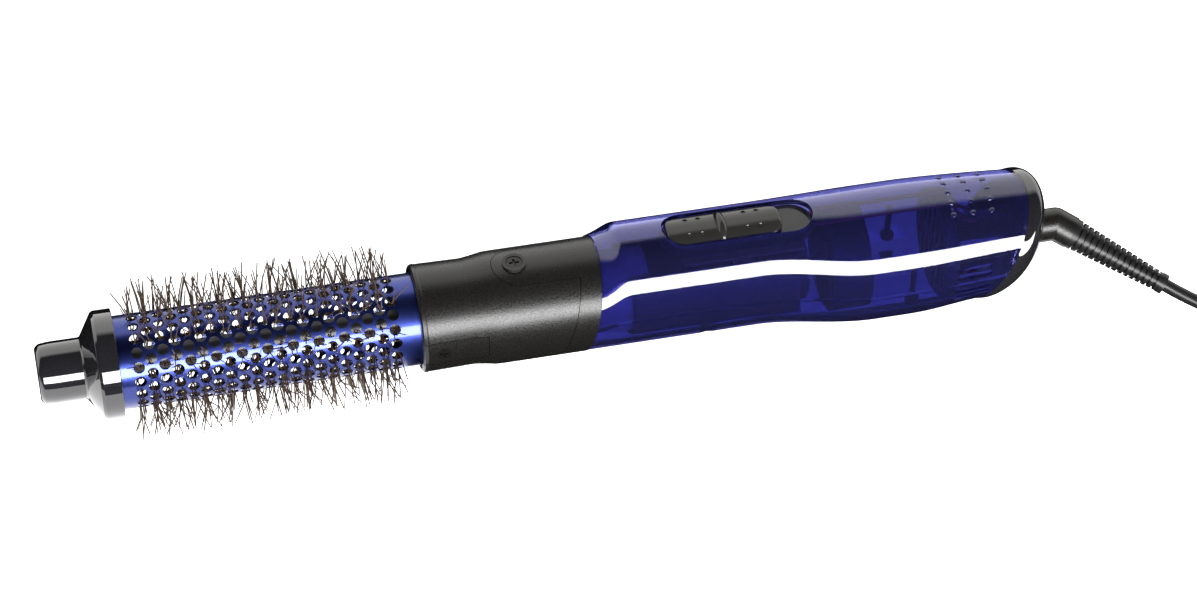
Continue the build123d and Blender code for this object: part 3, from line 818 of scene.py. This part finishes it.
def make_button():
    """The crowned cap with dimples, the cross fin on it and the stem under it."""
    rows = [(0.0, None)]
    for k in range(EDGE_STEPS + 1):
        a = math.radians(90 * k / EDGE_STEPS)
        rows.append((BUTTON_EDGE * (1 - math.cos(a)), BUTTON_EDGE * (1 - math.sin(a))))
    flat = BUTTON_HALF - BUTTON_EDGE - BUTTON_FLAT
    rows += [(BUTTON_EDGE + flat * (k + 1) / CROWN_STEPS, 0.0) for k in range(CROWN_STEPS)]
    verts = []
    for inset, drop in rows:
        for x, y in rounded_loop(inset):
            verts.append(at(x, y, BUTTON_FOOT if drop is None else crown(y) - drop))
    count = len(rounded_loop(0))
    faces = grid_faces(len(rows), count)
    faces.append(tuple(reversed(range(count))))
    faces.append(tuple(range(len(verts) - count, len(verts))))
    button = solid("switch_button_cap", verts, faces)
    for x in DIMPLE_X:
        for y in DIMPLE_Y:
            cut(button, ball(x, y, crown(y) + DIMPLE_RAISED, (DIMPLE_R, DIMPLE_R, DIMPLE_R)))
    fin = ball(FIN[0], 0, FIN[1], FIN_SIZE, floor=BUTTON_FOOT + 0.05)
    near, far = STEM_X
    stem = prism([(near, -STEM_HALF), (far, -STEM_HALF), (far, STEM_HALF), (near, STEM_HALF)],
                 STEM_FOOT, BUTTON_FOOT + 0.5)
    join(button, [fin, stem])
    dress(button, "switch", "button_grey", ["switch_button"], BUTTON_SHARP)


def ball(x, y, z, size, floor=None, rings=24, steps=48):
    """Closed ellipsoid no wider than the button, cut off level at floor if that is given."""
    verts = []
    for i in range(rings + 1):
        polar = math.pi * i / rings
        for k in range(steps):
            a = 2 * math.pi * k / steps
            up = z + size[2] * math.cos(polar)
            if floor is not None and up < floor:
                limit = math.acos(max(-1, min(1, (floor - z) / size[2])))
                r, up = math.sin(limit), floor
                if polar > limit + math.pi / rings:
                    r = 0
            else:
                r = math.sin(polar)
            across = max(-BUTTON_HALF, min(BUTTON_HALF, y + size[1] * r * math.sin(a)))
            verts.append(at(x + size[0] * r * math.cos(a), across, up))
    return solid("ball", verts, grid_faces(rings + 1, steps))


# ------------------------------------------------------------------ heater

HEATER_START_X = 153.0
HEATER_LENGTH = 48.4
HEATER_R = 11.75
HEATER_WIRE_R = 0.4
HEATER_TURNS = 11
HEATER_POINTS = 20          # in each turn


def make_heater_coil():
    """One continuous helix of resistance wire on the mica cross."""
    points = []
    count = HEATER_TURNS * HEATER_POINTS
    for k in range(count + 1):
        a = 2 * math.pi * k / HEATER_POINTS
        points.append(at(HEATER_START_X + HEATER_LENGTH * k / count,
                         HEATER_R * math.cos(a), HEATER_R * math.sin(a)))
    wire = curve("heater_helix", points, HEATER_WIRE_R * MM)
    dress(wire, "handle", "heater_wire", ["heater_coil"])


def curve(name, points, radius, sides=6):
    """A round NURBS curve led by its control points."""
    data = bpy.data.curves.new(name, "CURVE")
    data.dimensions = "3D"
    data.bevel_depth = radius
    data.bevel_resolution = sides
    data.use_fill_caps = True
    data.resolution_u = 6
    spline = data.splines.new("NURBS")
    spline.points.add(len(points) - 1)
    for point, spot in zip(spline.points, points):
        point.co = (*spot, 1)
    spline.order_u = 3
    spline.use_endpoint_u = True
    return link(name, data)


# ------------------------------------------------------------------ dark sleeve inside the grip

SLEEVE_X = (214.5, 277.0)
SLEEVE_R = (16.9, 17.3)
SLEEVE_OPEN = 70              # degrees left open at the top, for the switch
SLEEVE_SHARP = 40


def make_dark_sleeve():
    """A dark sleeve round the inside of the grip, open at the top, which darkens what is seen
    through the clear shells.
    """
    steps = 96
    inside, outside = SLEEVE_R
    angles = [SLEEVE_OPEN / 2 + (360 - SLEEVE_OPEN) * k / steps for k in range(steps + 1)]
    verts = []
    for x in SLEEVE_X:
        verts += [at(*around(x, outside, a)) for a in angles]
        verts += [at(*around(x, inside, a)) for a in reversed(angles)]
    faces = grid_faces(2, 2 * len(angles)) + end_faces(0, steps) + end_faces(2 * len(angles), steps)
    piece("inner_dark_sleeve", verts, faces, "handle", "black_nylon", [], SLEEVE_SHARP)


# ------------------------------------------------------------------ cord

CORD_DIAMETER = 0.005
CORD_Z = 0.0026             # middle of a cord that lies on the table
LEAD_DIR = Vector((0.789, -0.502, -0.355)).normalized()
ELBOW_CORNER = 380.0        # millimetres along the long axis
RELIEF_END = 47.0           # millimetres from there along LEAD_DIR, where the cord comes out
COIL_CENTRE = (0.4889, -0.0279)
COIL_OUTER = 0.037          # middle of the outermost turn
COIL_PITCH = 0.00502        # from one turn or layer to the next
COIL_LAYERS = 4
COIL_TURNS = 13.11
CLIMB_TURNS = 0.25          # spent on the way up to the next layer
LAST_TURNS = 0.14           # spent leaving the coil for the plug that lies on it
LAST_RISE = 0.004
ENTRY_ANGLE = -127.1        # degrees round the coil's middle where the cord comes in
POINTS_PER_TURN = 16
ON_THE_WAY = ((0.4297, -0.0316, 0.0), (0.4480, -0.0433, 0.0))     # from the brush to the coil
TO_THE_PLUG = ((0.5093, -0.0607, 0.0224), (0.5205, -0.0414, 0.0252), (0.5176, -0.0306, 0.0254))


def on_table(x, y, z):
    """Row-frame point from metres along and across the long axis, and above the table."""
    return Vector((AXIS.x + x, AXIS.y + y, z))


def coil_point(turn):
    """The wound cord after so many turns: in along one layer, up, and out along the next."""
    per_layer = (COIL_TURNS - CLIMB_TURNS * (COIL_LAYERS - 1)) / COIL_LAYERS
    layer = min(int(turn / (per_layer + CLIMB_TURNS)), COIL_LAYERS - 1)
    into = turn - layer * (per_layer + CLIMB_TURNS)
    inward = min(into, per_layer) if layer % 2 == 0 else max(per_layer - into, 0)
    radius = COIL_OUTER - inward * COIL_PITCH
    climbed = layer + max(into - per_layer, 0) / CLIMB_TURNS
    leaving = max(turn - COIL_TURNS + LAST_TURNS, 0) / LAST_TURNS
    angle = math.radians(ENTRY_ANGLE) + 2 * math.pi * turn
    return on_table(COIL_CENTRE[0] + radius * math.cos(angle),
                    COIL_CENTRE[1] + radius * math.sin(angle),
                    CORD_Z + COIL_PITCH * climbed + LAST_RISE * leaving)


def make_cord():
    """The mains cord: out of the strain relief, down, round the coil and up to its plug."""
    exit_point = at(ELBOW_CORNER, 0, 0) + LEAD_DIR * RELIEF_END * MM
    points = [exit_point] + [on_table(x, y, CORD_Z + up) for x, y, up in ON_THE_WAY]
    in_coil = int(COIL_TURNS * POINTS_PER_TURN) + 1
    points += [coil_point(k / POINTS_PER_TURN) for k in range(in_coil)]
    points += [on_table(x, y, CORD_Z + up) for x, y, up in TO_THE_PLUG]
    cord = curve("mains_cord", points, CORD_DIAMETER / 2, sides=5)
    dress(cord, "lead", "cord_rubber", ["power_cord", "cord_tail", "cord_coil"])


# ------------------------------------------------------------------ the whole scene

make_camera()
make_floor()
make_flags()
make_world()
make_strip()
scene.view_settings.view_transform = "Standard"
MATERIALS = make_materials()
make_cord()
make_tip()
make_bristles()
make_shells()
make_cap()
make_boss()
make_button()
make_heater_coil()
make_dark_sleeve()
